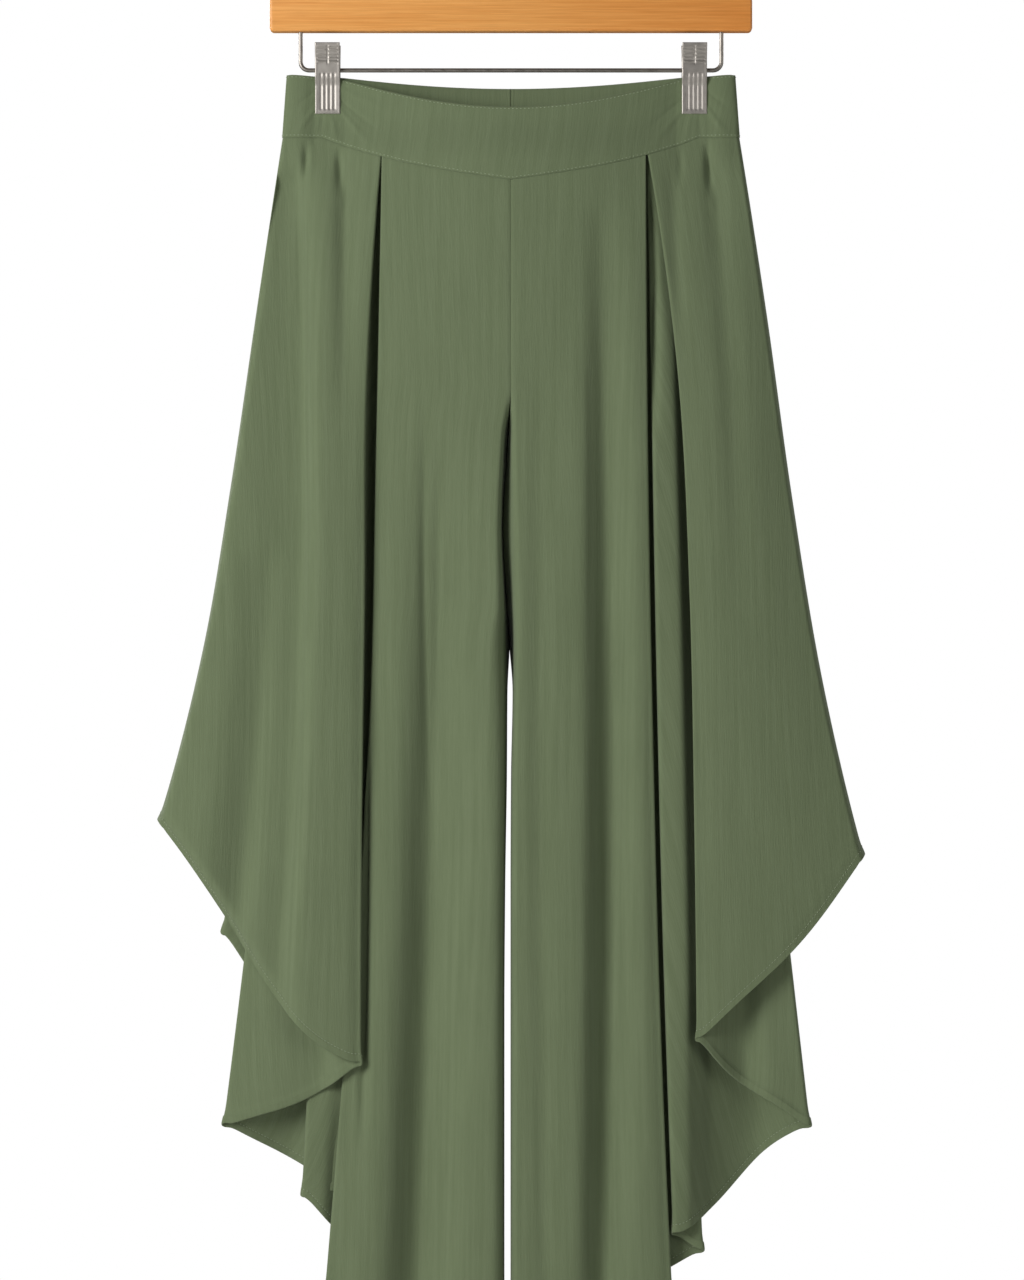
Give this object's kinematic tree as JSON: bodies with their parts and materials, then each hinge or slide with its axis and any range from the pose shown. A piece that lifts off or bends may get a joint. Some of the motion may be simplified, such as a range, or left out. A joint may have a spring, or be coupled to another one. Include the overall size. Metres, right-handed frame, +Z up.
{
  "type": "wide-leg trousers on a clip hanger",
  "caption": "Very wide trousers in matt crepe with a pointed waistband and waterfall side drapes that climb to the side, hung by the waistband from a wooden bar hanger with steel clips.",
  "frame": {"origin": "The inner top of the hook, where the rail carries it.", "axes": "+Z up, the front of the garment faces -Y, and +X is the wearer's left, which is the right of the front view."},
  "size_m": [0.623, 0.0649, 1.235],
  "materials": {
    "crepe": "matt olive green crepe with a faint fine grain along the cloth and a very slight sheen",
    "wood": "bare warm beech with a satin lacquer",
    "steel": "plain nickelled steel, a little dull"
  },
  "bodies": {
    "root": {"waistband_front": "crepe", "waistband_back_right": "crepe", "waistband_back_left": "crepe", "leg_front_right": "crepe", "leg_front_left": "crepe", "leg_back_right": "crepe", "leg_back_left": "crepe", "drape_front_right": "crepe", "drape_front_left": "crepe", "drape_back_right": "crepe", "drape_back_left": "crepe", "hanger_bar": "wood", "hanger_hook": "steel", "hanger_wire": "steel", "clip_right_front": "steel", "clip_right_back": "steel", "clip_right_spring": "steel", "clip_left_front": "steel", "clip_left_back": "steel", "clip_left_spring": "steel"}
  },
  "joints": []
}
